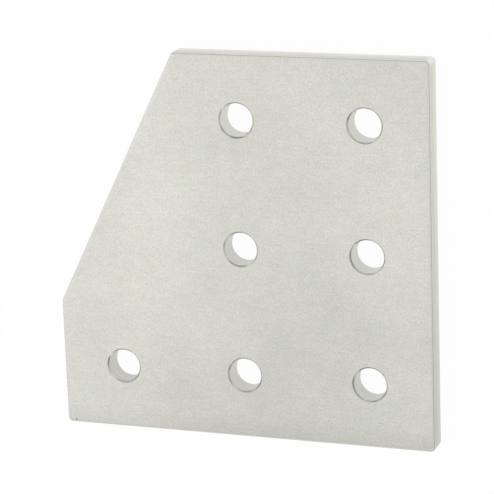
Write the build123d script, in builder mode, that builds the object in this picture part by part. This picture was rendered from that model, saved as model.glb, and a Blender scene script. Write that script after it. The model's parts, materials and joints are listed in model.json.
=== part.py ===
from build123d import *
import os

# A joining plate for T-slot aluminium framing, cut from flat bar as one piece.
# Three bolts hold its foot to the rail that runs along the bottom edge, and four
# hold its head to the upright that stands on the rail. The corner that covers
# neither profile is cut away on a slant, and every edge is lightly rounded.
#
# The plate lies flat. Its back face is on Z = 0 and its front face looks along +Z.
# X = Y = 0 is the centre of the rectangle that the plate was cut from, with the
# foot row along X and the upright's columns of holes along Y.

# ---- Driving dimensions: the framing and its plates are made in inches ----
hole_pitch = 1.0 * IN  # from one bolt hole to the next, as the slots are spaced
edge_margin = 0.5 * IN  # from an outer hole's centre to the edge beside it
plate_thickness = 0.1875 * IN
bolt_hole_diameter = 0.257 * IN  # clearance for a 1/4 inch bolt

# ---- Finishing by tumbling and deburring, in millimetres ----
corner_radius = 0.8  # on the corners of the outline
edge_radius = 0.5  # where the faces turn into the edges
hole_chamfer = 0.3  # on both mouths of each bolt hole

# ---- Hole pattern ----
foot_holes = 3  # in the one row along the bottom edge
head_columns = 2  # above the foot's last holes, on the side that isn't cut away
head_rows = 2

# ---- Outline, worked out from the hole pattern ----
plate_width = (foot_holes - 1) * hole_pitch + 2 * edge_margin
plate_height = head_rows * hole_pitch + 2 * edge_margin
left = -plate_width / 2
right = plate_width / 2
bottom = -plate_height / 2
top = plate_height / 2

foot_row_y = bottom + edge_margin
foot_top = foot_row_y + edge_margin
head_right_column_x = right - edge_margin
head_left = head_right_column_x - (head_columns - 1) * hole_pitch - edge_margin

foot_centre = (0, foot_row_y)
head_centre = (
    head_right_column_x - (head_columns - 1) * hole_pitch / 2,
    foot_row_y + (head_rows + 1) * hole_pitch / 2,
)


def drill_bolt_holes(block_centre, columns, rows):
    """Drills one block of bolt holes through the plate and deburrs both mouths of each."""
    with Locations(block_centre):
        with GridLocations(hole_pitch, hole_pitch, columns, rows):
            Hole(bolt_hole_diameter / 2)
    mouths = joining_plate.edges(Select.LAST).filter_by(GeomType.CIRCLE)
    chamfer(mouths, hole_chamfer)


# ---- The plate ----
with BuildPart() as joining_plate:
    # The blank: a rectangle with its upper left corner cut away, straight from the
    # top of the foot to the side of the head.
    with BuildSketch() as outline:
        with BuildLine():
            Polyline(
                (left, bottom),
                (right, bottom),
                (right, top),
                (head_left, top),
                (left, foot_top),
                close=True,
            )
        make_face()
        fillet(outline.vertices(), corner_radius)
    extrude(amount=plate_thickness)

    # Both faces turn into the edges through a small rounding, all the way round.
    face_outlines = joining_plate.faces().filter_by(Axis.Z).edges()
    fillet(face_outlines, edge_radius)

    drill_bolt_holes(foot_centre, foot_holes, 1)
    drill_bolt_holes(head_centre, head_columns, head_rows)

joining_plate.part.label = "joining_plate"

os.makedirs("parts", exist_ok=True)
export_step(joining_plate.part, "parts/joining_plate.step")

volume = joining_plate.part.volume
print(f"plate {plate_width:.2f} x {plate_height:.2f} x {plate_thickness:.3f} mm")
print(f"volume {volume:.0f} mm3")
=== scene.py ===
# %% [markdown]
# # An extrusion joining plate
#
# The object is one flat plate of aluminium that joins two lengths of slotted framing
# at a right angle. It is sawn from flat bar, drilled, tumbled to take off the burrs,
# and clear anodised. Nothing on it moves.
#
# The plate's form is exact already: it comes from the construction model, which this
# script loads as a fixed frame and never changes. What is left for Blender is what the
# eye reads as metal: the light, and a surface with grain, cut marks and worn edges.

# %% Load the plate
import json
import math

import bpy
from mathutils import Matrix, Vector


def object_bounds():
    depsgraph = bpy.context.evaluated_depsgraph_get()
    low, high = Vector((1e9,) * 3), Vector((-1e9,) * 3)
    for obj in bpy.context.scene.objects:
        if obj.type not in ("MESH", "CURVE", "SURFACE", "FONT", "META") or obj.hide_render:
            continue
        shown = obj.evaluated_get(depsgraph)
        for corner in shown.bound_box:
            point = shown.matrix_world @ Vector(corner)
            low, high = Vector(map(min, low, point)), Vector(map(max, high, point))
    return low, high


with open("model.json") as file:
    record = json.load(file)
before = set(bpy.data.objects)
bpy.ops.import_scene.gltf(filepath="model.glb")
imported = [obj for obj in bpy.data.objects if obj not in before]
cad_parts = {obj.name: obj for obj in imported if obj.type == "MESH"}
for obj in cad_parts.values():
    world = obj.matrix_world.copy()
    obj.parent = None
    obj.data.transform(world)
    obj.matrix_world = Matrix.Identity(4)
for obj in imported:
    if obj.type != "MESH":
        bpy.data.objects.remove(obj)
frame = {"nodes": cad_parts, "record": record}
cad_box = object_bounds()
plate = frame["nodes"]["joining_plate"]
print("plate:", len(plate.data.polygons), "triangles")

# %% [markdown]
# ## Lengths
#
# Blender works in metres, while a workshop drawing is in millimetres, so one factor
# turns one into the other. The plate's own lengths are not typed in again: its box in
# the frame gives its edges and faces, and the mount of its four upper bolts gives the
# distance from hole to hole. All of these are kept in millimetres.

# %% Millimetres, and the plate's own size
MM = 0.001

left_edge, bottom_edge, back_face = (length / MM for length in cad_box[0])
right_edge, top_edge, front_face = (length / MM for length in cad_box[1])
mounts = {mount["name"]: mount for mount in frame["record"]["mounts"]}
hole_pitch = mounts["head_bolts"]["dims"]["spacing_x_mm"]
print(f"{right_edge - left_edge:.1f} mm wide, {front_face - back_face:.2f} mm thick")

# %% [markdown]
# ## Colours
#
# A given colour is an sRGB value, but Blender adds up light in linear numbers.
# Typing sRGB numbers into a shader would make every tone too pale. One function makes
# the step, and every colour in this script goes through it.


# %% From an sRGB hex value to a linear colour
def linear_colour(hex_value):
    """Turns an sRGB hex value such as 0xD3D3CB into linear red, green, blue, alpha."""
    channels = [(hex_value >> shift & 0xFF) / 255 for shift in (16, 8, 0)]
    linear = [
        c / 12.92 if c <= 0.04045 else ((c + 0.055) / 1.055) ** 2.4 for c in channels
    ]
    return (*linear, 1.0)


WHITE = linear_colour(0xFFFFFF)
print("white:", WHITE)


# %% [markdown]
# ## Nodes
#
# A procedural material is a graph of nodes. Made one call at a time, a graph takes
# many lines, so one helper adds a node, sets its properties and fills its inputs. An
# input is named as Blender's panel names it, with _ for a space, or by its number, as
# in _0. A value that is another node's output becomes a link.
#
# Numbers are for inputs that share a name, as the two of a Math node do. A Mix node
# has an A and a B for every kind of value: inputs 2 and 3 take numbers and give output
# 0, while inputs 6 and 7 take colours and give output 2. Many Map Ranges here start and
# end softly, so that setting gets a name.


# %% A helper that adds a node with its settings and links
def add_node(tree, kind, settings=None, **inputs):
    """Adds one node to a tree and returns it."""
    node = tree.nodes.new(kind)
    for name, value in (settings or {}).items():
        setattr(node, name, value)
    for name, value in inputs.items():
        key = int(name[1:]) if name[0] == "_" else name.replace("_", " ")
        if isinstance(value, bpy.types.NodeSocket):
            tree.links.new(value, node.inputs[key])
        else:
            node.inputs[key].default_value = value
    return node


SOFT_ENDS = {"interpolation_type": "SMOOTHSTEP"}
print("soft ends:", SOFT_ENDS)

# %% [markdown]
# ## Camera
#
# The plate lies on its back, as a loose sheet comes to rest, so the camera looks down
# on it. It stands well off with a long lens, which keeps the plate's sides almost
# parallel. It leans from straight above towards the plate's upper right corner, and
# that shows the top edge, the right edge and the lower left wall of each hole.
#
# A camera looks along its own -Z with +Y upwards. The columns of its rotation are
# therefore its right, its up and the direction back from the plate. Building them from
# cross products keeps the plate upright in the view, which a tracking constraint would
# not do so close to the vertical. Last, the camera rolls a little about its own axis.

# %% Camera
VIEW_AZIMUTH = math.radians(39.0)
VIEW_LEAN = math.radians(24.9)
VIEW_ROLL = math.radians(-2.0)
VIEW_DISTANCE = 483  # millimetres
AIM = (0.5, -0.1, front_face / 2)  # millimetres, close to the middle of the plate
LENS = 182.4  # millimetres of focal length
SENSOR_WIDTH = 36  # millimetres
PLATE_UP = Vector((0, 1, 0))

back = Vector(
    (
        math.sin(VIEW_LEAN) * math.cos(VIEW_AZIMUTH),
        math.sin(VIEW_LEAN) * math.sin(VIEW_AZIMUTH),
        math.cos(VIEW_LEAN),
    )
)
right = PLATE_UP.cross(back).normalized()
upright_axes = Matrix((right, back.cross(right), back)).transposed()
axes = upright_axes @ Matrix.Rotation(VIEW_ROLL, 3, "Z")

camera_data = bpy.data.cameras.new("camera")
camera_data.lens = LENS
camera_data.sensor_width = SENSOR_WIDTH
camera = bpy.data.objects.new("camera", camera_data)
camera_place = (Vector(AIM) + back * VIEW_DISTANCE) * MM
camera.matrix_world = Matrix.Translation(camera_place) @ axes.to_4x4()
bpy.context.scene.collection.objects.link(camera)
bpy.context.scene.camera = camera
bpy.context.scene.view_settings.view_transform = "Standard"
print("camera at", [round(length, 3) for length in camera_place])

# %% [markdown]
# ## The room
#
# Satin metal has almost no colour of its own. It mirrors the room, blurred, so the room
# is the first half of the finish. Lamps in a dark room would do for wood or plastic,
# but metal would come out nearly black between their bright spots. So this room is a
# white tent of cloth over the table, open low down on the camera's side. The flat face
# mirrors the white cloth and comes out even and pale. The roundings and chamfers on
# the camera's side mirror the dim room beyond the opening, and draw a thin darker line
# round the face and each hole. Without that line the plate would look like paper.
#
# A world shader sees the direction of a ray as its Generated coordinate. Two Map
# Ranges find the opening in it: one by the height of the ray, the other by how far the
# ray heads to the camera's side, which a dot product measures.

# %% The room: white cloth with a low, dim opening
CLOTH_LEVEL = 0.88
OPENING_LEVEL = 0.38
OPENING_TOP = (0.38, 0.52)  # height of a ray's direction: fully dim, fully white
OPENING_SIDE = (-0.25, 0.05)  # how far a ray heads to the camera: white, dim

world = bpy.data.worlds.new("cloth_tent")
bpy.context.scene.world = world
world.use_nodes = True
room = world.node_tree
room.nodes.clear()
direction = add_node(room, "ShaderNodeTexCoord").outputs["Generated"]
height = add_node(room, "ShaderNodeSeparateXYZ", Vector=direction).outputs["Z"]
towards_camera = add_node(
    room,
    "ShaderNodeVectorMath",
    {"operation": "DOT_PRODUCT"},
    _0=direction,
    _1=(math.cos(VIEW_AZIMUTH), math.sin(VIEW_AZIMUTH), 0),
).outputs["Value"]
is_low = add_node(
    room,
    "ShaderNodeMapRange",
    SOFT_ENDS,
    Value=height,
    From_Min=OPENING_TOP[1],
    From_Max=OPENING_TOP[0],
).outputs["Result"]
is_open = add_node(
    room,
    "ShaderNodeMapRange",
    SOFT_ENDS,
    Value=towards_camera,
    From_Min=OPENING_SIDE[0],
    From_Max=OPENING_SIDE[1],
    To_Max=CLOTH_LEVEL - OPENING_LEVEL,
).outputs["Result"]
dimming = add_node(
    room, "ShaderNodeMath", {"operation": "MULTIPLY"}, _0=is_low, _1=is_open
).outputs["Value"]
level = add_node(
    room, "ShaderNodeMath", {"operation": "SUBTRACT"}, _0=CLOTH_LEVEL, _1=dimming
).outputs["Value"]
light = add_node(room, "ShaderNodeBackground", Color=WHITE, Strength=level)
add_node(room, "ShaderNodeOutputWorld", Surface=light.outputs["Background"])
print("room: cloth", CLOTH_LEVEL, "opening", OPENING_LEVEL)

# %% [markdown]
# ## The lamp
#
# A tent alone is even from end to end, and an even plate looks flat. A bare bulb or a
# sun would add a hard glint. One large soft box on the left makes that side of the
# face the brightest part instead. It stands high, so the roundings and the deburred
# rims of the holes do not catch it as bright spots.

# %% Soft box
KEY_PLACE = (-330, -60, 430)  # millimetres from the middle of the plate
KEY_SIZE = 320  # millimetres from side to side
KEY_WATTS = 0.22

key_data = bpy.data.lights.new("key_softbox", "AREA")
key_data.size = KEY_SIZE * MM
key_data.energy = KEY_WATTS
key = bpy.data.objects.new("key_softbox", key_data)
key.location = Vector(KEY_PLACE) * MM
key.rotation_mode = "QUATERNION"
key.rotation_quaternion = key.location.to_track_quat("Z", "Y")
bpy.context.scene.collection.objects.link(key)
print(f"key: {KEY_WATTS} W at {key.location.length:.2f} m")

# %% [markdown]
# ## Floor
#
# The plate lies on a large sheet of white paper. Real paper under this light would
# come out pale grey, so what the camera sees of it is mostly a plain white glow, and
# the rest is lit paper that keeps a faint shadow. Light Path tells the shader which ray
# is asking. The glow answers mirrored rays too, or the metal would show a different
# floor from the one that it lies on, and it stays out of diffuse rays, so that it
# lights nothing.

# %% White paper floor
FLOOR_SIZE = 40  # metres
FLOOR_GAP = 0.02  # millimetres, keeps the paper clear of the plate's back face
PAPER_TONE = 0xF4F4F4
GLOW_SHARE = 0.96

bpy.ops.object.select_all(action="DESELECT")
bpy.ops.mesh.primitive_plane_add(size=FLOOR_SIZE, location=(0, 0, -FLOOR_GAP * MM))
floor = bpy.context.object
floor.name = "floor"

paper = bpy.data.materials.new("white_paper")
paper.use_nodes = True
tree = paper.node_tree
tree.nodes.clear()
ray = add_node(tree, "ShaderNodeLightPath").outputs
seen = ray["Is Camera Ray"]
for kind in ("Is Glossy Ray", "Is Transmission Ray"):
    seen = add_node(
        tree, "ShaderNodeMath", {"operation": "MAXIMUM"}, _0=seen, _1=ray[kind]
    ).outputs["Value"]
glow_part = add_node(
    tree, "ShaderNodeMath", {"operation": "MULTIPLY"}, _0=seen, _1=GLOW_SHARE
).outputs["Value"]
lit = add_node(tree, "ShaderNodeBsdfDiffuse", Color=linear_colour(PAPER_TONE))
glow = add_node(tree, "ShaderNodeEmission", Color=WHITE, Strength=1.0)
surface = add_node(
    tree,
    "ShaderNodeMixShader",
    _0=glow_part,
    _1=lit.outputs["BSDF"],
    _2=glow.outputs["Emission"],
)
add_node(tree, "ShaderNodeOutputMaterial", Surface=surface.outputs["Shader"])
floor.data.materials.append(paper)
print("floor:", FLOOR_SIZE, "m, glow", GLOW_SHARE)

# %% [markdown]
# ## The finish: clear anodised aluminium
#
# Before it is anodised, aluminium is etched in caustic soda, which turns the bright
# rolled skin into a field of tiny pits. Anodising then grows a clear, hard oxide over
# it. The eye gets three things from that: a matt silver that is a little warm, a fine
# mottling like frost, and the last trace of the rolling lines below it.
#
# The material below starts as metal with nothing on it. Metallic is 1, as bare metal
# has it, and the IOR stays at its default. All patterns read Object coordinates, which
# stay fixed to the plate, and a Vector Math node turns them into millimetres, so that
# a pattern's size is the size of the real thing.

# %% Start the metal
metal = bpy.data.materials.new("clear_anodised_aluminium")
metal.use_nodes = True
tree = metal.node_tree
tree.nodes.clear()
place = add_node(tree, "ShaderNodeTexCoord").outputs["Object"]
place_mm = add_node(
    tree, "ShaderNodeVectorMath", {"operation": "SCALE"}, _0=place, Scale=1 / MM
).outputs["Vector"]
skin = add_node(tree, "ShaderNodeBsdfPrincipled", Metallic=1.0)
add_node(tree, "ShaderNodeOutputMaterial", Surface=skin.outputs["BSDF"])
plate.material_slots[0].material = metal
print("material:", metal.name, "on", plate.name)

# %% [markdown]
# ## Face, wall and rounding
#
# The plate has three kinds of surface, made in three ways: rolled faces, cut walls
# and tumbled roundings. They could be three materials, but then a line would show
# where they meet. Here the normal tells them apart. Its Z is 1 on a face, 0 on the
# outline's walls and in the holes, and in between on every rounding and chamfer.

# %% Shares of face and wall
FACE_BAND = (0.93, 0.995)  # how level the surface is: share of face 0, share 1
WALL_BAND = (0.35, 0.05)  # the same for the wall

normal = add_node(tree, "ShaderNodeNewGeometry").outputs["Normal"]
tilt = add_node(tree, "ShaderNodeSeparateXYZ", Vector=normal).outputs["Z"]
levelness = add_node(
    tree, "ShaderNodeMath", {"operation": "ABSOLUTE"}, _0=tilt
).outputs["Value"]
on_face, on_wall = (
    add_node(
        tree,
        "ShaderNodeMapRange",
        SOFT_ENDS,
        Value=levelness,
        From_Min=none,
        From_Max=full,
    ).outputs["Result"]
    for none, full in (FACE_BAND, WALL_BAND)
)
print("faces, walls and roundings told apart")

# %% [markdown]
# ## In the holes
#
# The chamfer on a hole's mouth is cut by a deburring tool, while the roundings of the
# outline are rubbed by tumbling, and the two have the same kind of normal. The bore
# below it is drilled and the outline's walls are sawn, and they too differ only by
# their place. The holes stand on a square grid through the middle of the plate, so the
# place is wrapped round to one square of that grid, and its distance from the middle
# of the square says whether it is in a hole. The bore is in a hole and on a wall.

# %% Shares of hole and bore
IN_HOLE, OUT_OF_HOLE = 4.0, 4.5  # millimetres from a hole's axis

half_pitch = hole_pitch / 2
in_square = add_node(
    tree,
    "ShaderNodeVectorMath",
    {"operation": "WRAP"},
    _0=place_mm,
    _1=(half_pitch, half_pitch, half_pitch),
    _2=(-half_pitch, -half_pitch, -half_pitch),
).outputs["Vector"]
level_with_axis = add_node(
    tree, "ShaderNodeVectorMath", {"operation": "MULTIPLY"}, _0=in_square, _1=(1, 1, 0)
).outputs["Vector"]
axis_distance = add_node(
    tree, "ShaderNodeVectorMath", {"operation": "LENGTH"}, _0=level_with_axis
).outputs["Value"]
in_hole = add_node(
    tree,
    "ShaderNodeMapRange",
    Value=axis_distance,
    From_Min=OUT_OF_HOLE,
    From_Max=IN_HOLE,
).outputs["Result"]
in_bore = add_node(
    tree, "ShaderNodeMath", {"operation": "MULTIPLY"}, _0=in_hole, _1=on_wall
).outputs["Value"]
print(f"holes every {hole_pitch:.1f} mm")

# %% [markdown]
# ## Corners
#
# The plate's square corners stick out, so tumbling rubs them more than any other
# place, and they end up glossy. Their pale tone is a painted highlight. Where a point is
# close to such a corner, its X and its Y are both large, and the sum of the two says
# how close.

# %% Share of corner
CORNER_REACH = (1.0, 0.55)  # millimetres short of the sharp corner: share 0, share 1

from_middle = add_node(
    tree, "ShaderNodeVectorMath", {"operation": "ABSOLUTE"}, _0=place_mm
).outputs["Vector"]
x_plus_y = add_node(
    tree,
    "ShaderNodeVectorMath",
    {"operation": "DOT_PRODUCT"},
    _0=from_middle,
    _1=(1, 1, 0),
).outputs["Value"]
sharp_corner = right_edge + top_edge
in_corner = add_node(
    tree,
    "ShaderNodeMapRange",
    SOFT_ENDS,
    Value=x_plus_y,
    From_Min=sharp_corner - CORNER_REACH[0],
    From_Max=sharp_corner - CORNER_REACH[1],
).outputs["Result"]
print(f"corners at {sharp_corner:.1f} mm of X plus Y")

# %% [markdown]
# ## Patterns
#
# Five noises make the brightness of the face. The etch's pits are under 0.1 mm across,
# too fine to show at this distance, so they are drawn as a mottling of 0.4 mm. The
# etch also bites in patches, a millimetre or two across. Rolling lines run along the
# bar: noise that is stretched 13 times longer than it is wide. Clouds a few
# centimetres across, with wisps of a centimetre in them, are where the oxide grew a
# little thicker or thinner. The clouds are also painted light and shade: they are
# shifted to lie where the lit face is brighter and darker. A sixth noise, the tint,
# leans the silver to warm or cool.
#
# The walls have lines too, but they come from the saw and the drill and run round the
# outline and round each hole. Noise that changes quickly along Z alone draws them. On
# the chamfers a deburring cutter skips and bites every few millimetres.
#
# A shift moves each pattern to its own part of the endless noise, so that no two
# patterns share their spots.

# %% Noises of real sizes
PATTERNS = {  # size of a spot in millimetres along X, Y and Z; detail; shift
    "etch": ((0.38, 0.4, 0.4), 2.0, (0, 0, 0)),
    "patches": ((1.7, 1.5, 1.6), 1.0, (3.3, 8.1, 4.7)),
    "rolling": ((4.0, 0.3, 1.5), 0.0, (11.3, 11.3, 11.3)),
    "wisps": ((10.0, 7.5, 9.0), 1.0, (6.1, 14.9, 20.2)),
    # the clouds are partly oxide and partly painted light and shade
    "clouds_and_painted_light": ((34.0, 45.0, 40.0), 1.0, (22.27, 22.53, 2.38)),
    "tint": ((0.75, 0.42, 0.6), 2.0, (31.7, 31.7, 31.7)),
    "cutting": ((5.0, 5.0, 0.3), 2.0, (7.9, 7.9, 7.9)),
    "deburring": ((2.4, 2.4, 2.4), 0.0, (17.2, 5.6, 9.4)),
}

patterns = {}
for name, (size_mm, detail, shift) in PATTERNS.items():
    spots = add_node(
        tree,
        "ShaderNodeMapping",
        Vector=place_mm,
        Location=shift,
        Scale=[1 / size for size in size_mm],
    ).outputs["Vector"]
    pattern = add_node(
        tree, "ShaderNodeTexNoise", Vector=spots, Scale=1.0, Detail=detail
    )
    patterns[name] = pattern.outputs[0]
print("patterns:", ", ".join(patterns))

# %% [markdown]
# ## Brightness
#
# Noise spreads about a tenth to each side of its middle value. Each pattern is
# stretched to a brightness round 1, with its own swing. The swings are small: bare
# metal in soft light is a quiet surface, and the eye finds 1 or 2 percent.

# %% Brightness from each pattern
NOISE_SPREAD = 0.2
SWINGS = {
    "etch": 0.08,
    "patches": 0.02,
    "rolling": 0.012,
    "wisps": 0.018,
    # the clouds' swing is partly painted light and shade
    "clouds_and_painted_light": 0.057,
    "cutting": 0.06,
}

brightness = {}
for name, swing in SWINGS.items():
    brightness[name] = add_node(
        tree,
        "ShaderNodeMapRange",
        {"clamp": False},
        Value=patterns[name],
        From_Min=0.5 - NOISE_SPREAD,
        From_Max=0.5 + NOISE_SPREAD,
        To_Min=1 - swing,
        To_Max=1 + swing,
    ).outputs["Result"]
print("swings:", SWINGS)

# %% [markdown]
# ## Slow changes over the plate
#
# Four changes are slow and follow the plate's shape, so Map Ranges along one axis
# draw them better than noise. All four are painted light and shade. A strip of a few
# millimetres along the lower edge is painted darker: painted shade. The bores and the
# roundings get painted light that darkens slowly all the way down, and the sawn walls
# get more of it. And a sawn wall is painted brighter towards the back face: painted
# light bounced up from the floor.

# %% Painted shade at the bottom edge, and painted light from top to bottom and front to back
# the strip along the bottom edge is painted shade
SHADED_STRIP_WIDTH = 5.0  # millimetres up from the bottom edge
SHADED_STRIP_LIGHT = 0.91
# these factors are painted light: darker towards the bottom, brighter towards the back
# face
BOTTOM_LIGHT, TOP_LIGHT = 0.93, 1.05  # of bores and roundings
WALL_BOTTOM_LIGHT, WALL_TOP_LIGHT = 0.87, 1.07  # of sawn walls
BACK_LIGHT, FRONT_LIGHT = 1.08, 0.87  # of a wall, at the back face and at the front

axes_mm = add_node(tree, "ShaderNodeSeparateXYZ", Vector=place_mm).outputs
# all four slow changes are painted light and shade
SLOW_CHANGES = {  # axis, from where, to where, light there
    "painted_shade_at_bottom_edge": ("Y", bottom_edge, bottom_edge + SHADED_STRIP_WIDTH, SHADED_STRIP_LIGHT, 1.0),
    "painted_light_by_height": ("Y", bottom_edge, top_edge, BOTTOM_LIGHT, TOP_LIGHT),
    "painted_wall_light_by_height": ("Y", bottom_edge, top_edge, WALL_BOTTOM_LIGHT, WALL_TOP_LIGHT),
    "painted_bounce_light_by_depth": ("Z", back_face, front_face, BACK_LIGHT, FRONT_LIGHT),
}
for name, (axis, start, end, start_light, end_light) in SLOW_CHANGES.items():
    brightness[name] = add_node(
        tree,
        "ShaderNodeMapRange",
        SOFT_ENDS,
        Value=axes_mm[axis],
        From_Min=start,
        From_Max=end,
        To_Min=start_light,
        To_Max=end_light,
    ).outputs["Result"]
print("slow changes:", ", ".join(SLOW_CHANGES))

# %% [markdown]
# ## Adding up the layers
#
# Layers of a real finish darken each other, and so does painted shade, so their
# brightnesses are multiplied. The face has five patterns and the painted shade along
# its bottom edge. A sawn wall has its cutting lines and two changes of painted light.
# A bore has one fewer, without the painted light from back to front, and a rounding
# has one change of painted light alone.

# %% Light of each piece of the surface
LAYERS = {
    "face": ("painted_shade_at_bottom_edge", "etch", "patches", "rolling", "wisps", "clouds_and_painted_light"),
    "wall": ("painted_wall_light_by_height", "painted_bounce_light_by_depth", "cutting"),
    "bore": ("painted_light_by_height", "cutting"),
    "rounding": ("painted_light_by_height",),
}

light_of = {}
for piece, (first, *others) in LAYERS.items():
    product = brightness[first]
    for name in others:
        product = add_node(
            tree,
            "ShaderNodeMath",
            {"operation": "MULTIPLY"},
            _0=product,
            _1=brightness[name],
        ).outputs["Value"]
    light_of[piece] = product
print("layers:", {piece: len(names) for piece, names in LAYERS.items()})

# %% [markdown]
# ## Rack mark
#
# In the bath the plate touches a wire of the rack, close to its lower left corner.
# No oxide grows there, and a dark speck is left. It is flat, so it is no dent to model
# but a change of tone: the distance from a point, turned into a brightness by a Map
# Range.

# %% Rack mark
RACK_MARK = (1.8, 0.6)  # millimetres in from the left edge and up from the bottom
RACK_MARK_RADIUS = 0.36  # millimetres
RACK_MARK_LIGHT = 0.38

mark_centre = (left_edge + RACK_MARK[0], bottom_edge + RACK_MARK[1], front_face)
mark_distance = add_node(
    tree, "ShaderNodeVectorMath", {"operation": "DISTANCE"}, _0=place_mm, _1=mark_centre
).outputs["Value"]
mark_light = add_node(
    tree,
    "ShaderNodeMapRange",
    SOFT_ENDS,
    Value=mark_distance,
    From_Max=RACK_MARK_RADIUS,
    To_Min=RACK_MARK_LIGHT,
    To_Max=1.0,
).outputs["Result"]
print("rack mark at", [round(c, 1) for c in mark_centre])

# %% [markdown]
# ## Colour
#
# All tones are the same silver. The sawn walls are a little paler than the face: painted
# light that brightens the sides. The roundings are paler still, because tumbling has
# rubbed them bright, and the corners are palest, with a painted highlight. The bores
# are as dark as the face, because the bath drains slowly out of a hole. The chamfers
# go from dull to bright, as the deburring cutter skipped or bit.
#
# Two pairs of tones are blended by a noise: the face's by the tint, the chamfers' by
# the deburring. A blend narrower than the noise's whole range makes its spots clearer.

# %% Tones
COOL_FACE, WARM_FACE = 0xD1D4C9, 0xD6D2CE
DULL_CHAMFER, BRIGHT_CHAMFER = 0xC6C9C3, 0xF1F1EA
# the wall tone is paler than the face: painted light on the sides
WALL_TONE_WITH_PAINTED_LIGHT = 0xDAD9D1
BORE_TONE = 0xD3D3CB
ROUNDING_TONE = 0xDEDDD5
# the corner tone is a painted highlight
CORNER_HIGHLIGHT_TONE = 0xECEBE3

BLENDS = {  # first tone, second tone, noise, where the noise starts and ends the blend
    "face": (COOL_FACE, WARM_FACE, "tint", (0.3, 0.7)),
    "chamfer": (DULL_CHAMFER, BRIGHT_CHAMFER, "deburring", (0.34, 0.56)),
}
tone_of = {
    "wall": linear_colour(WALL_TONE_WITH_PAINTED_LIGHT)[:3],  # a Vector Math node takes three numbers
    "bore": linear_colour(BORE_TONE)[:3],
    "rounding": linear_colour(ROUNDING_TONE)[:3],
    "corner": linear_colour(CORNER_HIGHLIGHT_TONE),
}
for piece, (first, second, name, reach) in BLENDS.items():
    share = add_node(
        tree,
        "ShaderNodeMapRange",
        Value=patterns[name],
        From_Min=reach[0],
        From_Max=reach[1],
    ).outputs["Result"]
    tone_of[piece] = add_node(
        tree,
        "ShaderNodeMix",
        {"data_type": "RGBA"},
        _0=share,
        _6=linear_colour(first),
        _7=linear_colour(second),
    ).outputs[2]
print("tones:", ", ".join(tone_of))

# %% [markdown]
# ## Laying the colours
#
# A tone times its light is a colour. The colours are then laid over each other like
# paint through stencils, each where its share is 1: the rounding first, over it the
# wall and the corner, then the chamfer and the bore of each hole, and last the face.

# %% Lay the colours over each other
for piece, light in light_of.items():
    tone_of[piece] = add_node(
        tree,
        "ShaderNodeVectorMath",
        {"operation": "SCALE"},
        _0=tone_of[piece],
        Scale=light,
    ).outputs["Vector"]

stencils = {
    "wall": on_wall,
    "corner": in_corner,
    "chamfer": in_hole,
    "bore": in_bore,
    "face": on_face,
}
colour = tone_of["rounding"]
for piece, share in stencils.items():
    colour = add_node(
        tree,
        "ShaderNodeMix",
        {"data_type": "RGBA"},
        _0=share,
        _6=colour,
        _7=tone_of[piece],
    ).outputs[2]
marked_colour = add_node(
    tree, "ShaderNodeVectorMath", {"operation": "SCALE"}, _0=colour, Scale=mark_light
).outputs["Vector"]
tree.links.new(marked_colour, skin.inputs["Base Color"])
print("colours laid:", ", ".join(tone_of))

# %% [markdown]
# ## Gloss
#
# Etched and anodised aluminium is about 0.4 to 0.5 rough, and burnished aluminium 0.2
# to 0.35. Tumbling rubs the plate's edges against ceramic chips, which burnishes them,
# the corners most of all, and a cutter leaves a chamfer nearly as smooth. So the edges
# are glossier than the face, as on a plate that has been handled.

# %% Roughness
ROUGHNESS = {
    "rounding": 0.34,
    "wall": 0.36,
    "corner": 0.28,
    "chamfer": 0.32,
    "bore": 0.36,
    "face": 0.45,
}

roughness = ROUGHNESS["rounding"]
for piece, share in stencils.items():
    roughness = add_node(
        tree, "ShaderNodeMix", _0=share, _2=roughness, _3=ROUGHNESS[piece]
    ).outputs[0]
tree.links.new(roughness, skin.inputs["Roughness"])
print("roughness:", ROUGHNESS)

# %% [markdown]
# ## Relief
#
# The patterns that set the tone also raise the surface, because a pit is both darker
# and deeper: the etch on the faces, the cutting lines on the walls. One Bump node
# turns that height into small tilts of the normal.

# %% Bump
PIT_DEPTH = 0.02 * MM

relief_height = add_node(
    tree, "ShaderNodeMix", _0=on_wall, _2=patterns["etch"], _3=patterns["cutting"]
).outputs[0]
relief = add_node(
    tree, "ShaderNodeBump", Strength=1.0, Distance=PIT_DEPTH, Height=relief_height
)
tree.links.new(relief.outputs["Normal"], skin.inputs["Normal"])
print("relief", PIT_DEPTH / MM, "mm deep")

# %% [markdown]
# ## Sizes
#

# %% Sizes
print("plate sizes come from the construction model's box")
